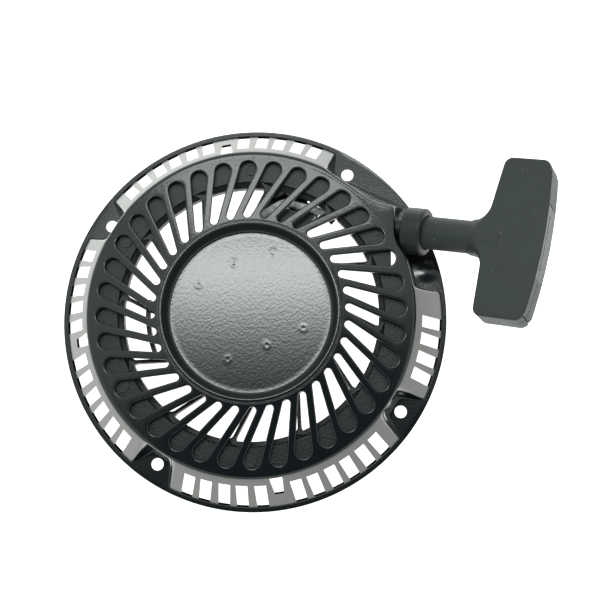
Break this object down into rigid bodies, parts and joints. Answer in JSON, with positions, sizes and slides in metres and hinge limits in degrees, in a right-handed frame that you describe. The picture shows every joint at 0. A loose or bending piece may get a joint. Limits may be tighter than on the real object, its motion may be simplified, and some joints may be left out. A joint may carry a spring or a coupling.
{
  "type": "recoil starter",
  "caption": "Pull-rope recoil starter: vented round steel housing with bolt flange, sprung rope reel with pawls, and T handle.",
  "frame": {"origin": "centre of the bolt circle on the flange's engine-side face", "axes": "+Z along the crankshaft axis away from the engine, +X towards the rope exit and the handle"},
  "size_m": [0.2591, 0.204, 0.0503],
  "materials": {
    "black_enamel": "black powder coat with light orange peel",
    "guard_plastic": "moulded, fine grain",
    "guide_plastic": "moulded, fine grain",
    "reel_plastic": "moulded",
    "grip_plastic": "moulded, fine grain",
    "cap_plastic": "moulded",
    "zinc_steel": "zinc plated",
    "spring_steel": "blued strip",
    "rope_braid": "braided polyester"
  },
  "bodies": {
    "frame": {"housing": "black_enamel", "inner_guard": "guard_plastic", "rope_guide": "guide_plastic", "fairlead_pin": "zinc_steel", "reel_post": "zinc_steel", "rope_lead": "rope_braid", "friction_spring": "spring_steel", "retaining_washer": "zinc_steel", "centre_screw": "zinc_steel", "power_spring": "spring_steel"},
    "reel": {"reel": "reel_plastic", "spring_cover": "zinc_steel", "rope_wound": "rope_braid", "reel_knot": "rope_braid", "pawl_pins": "zinc_steel", "pawl_spring_1": "spring_steel", "pawl_spring_2": "spring_steel"},
    "guide": {"guide_plate": "zinc_steel"},
    "pawl_1": {"pawl_1": "zinc_steel"},
    "pawl_2": {"pawl_2": "zinc_steel"},
    "handle": {"handle_grip": "grip_plastic", "handle_cap": "cap_plastic", "handle_knot": "rope_braid", "knot_washer": "zinc_steel"}
  },
  "joints": [
    {"name": "handle_pull", "type": "slide", "parent": "frame", "child": "handle", "axis": [0.912, -0.1872, 0.3649], "range_m": [0, 0.8], "stiffness_N_per_m": 12, "springref_m": -0.5, "deforming": ["rope_lead"]},
    {"name": "reel_spin", "type": "hinge", "parent": "frame", "child": "reel", "pos_m": [0, 0, 0.0143], "axis": [0, 0, 1], "range_deg": [-1110, 0], "deforming": ["power_spring"]},
    {"name": "guide_turn", "type": "hinge", "parent": "reel", "child": "guide", "pos_m": [0, 0, 0.0048], "axis": [0, 0, 1], "range_deg": [0, 30], "stiffness_Nm_per_rad": 0.01, "springref_deg": -5.73},
    {"name": "pawl_1_swing", "type": "hinge", "parent": "reel", "child": "pawl_1", "pos_m": [0.0235, 0, 0.007], "axis": [0, 0, 1], "range_deg": [0, 25.2]},
    {"name": "pawl_2_swing", "type": "hinge", "parent": "reel", "child": "pawl_2", "pos_m": [-0.0235, 0, 0.007], "axis": [0, 0, 1], "range_deg": [0, 25.2]}
  ],
  "couplings": [
    {"joint": "reel_spin", "follows": "handle_pull", "rad_per_m": -24},
    {"joint": "pawl_1_swing", "follows": "guide_turn", "ratio": 0.83333},
    {"joint": "pawl_2_swing", "follows": "guide_turn", "ratio": 0.83333}
  ]
}
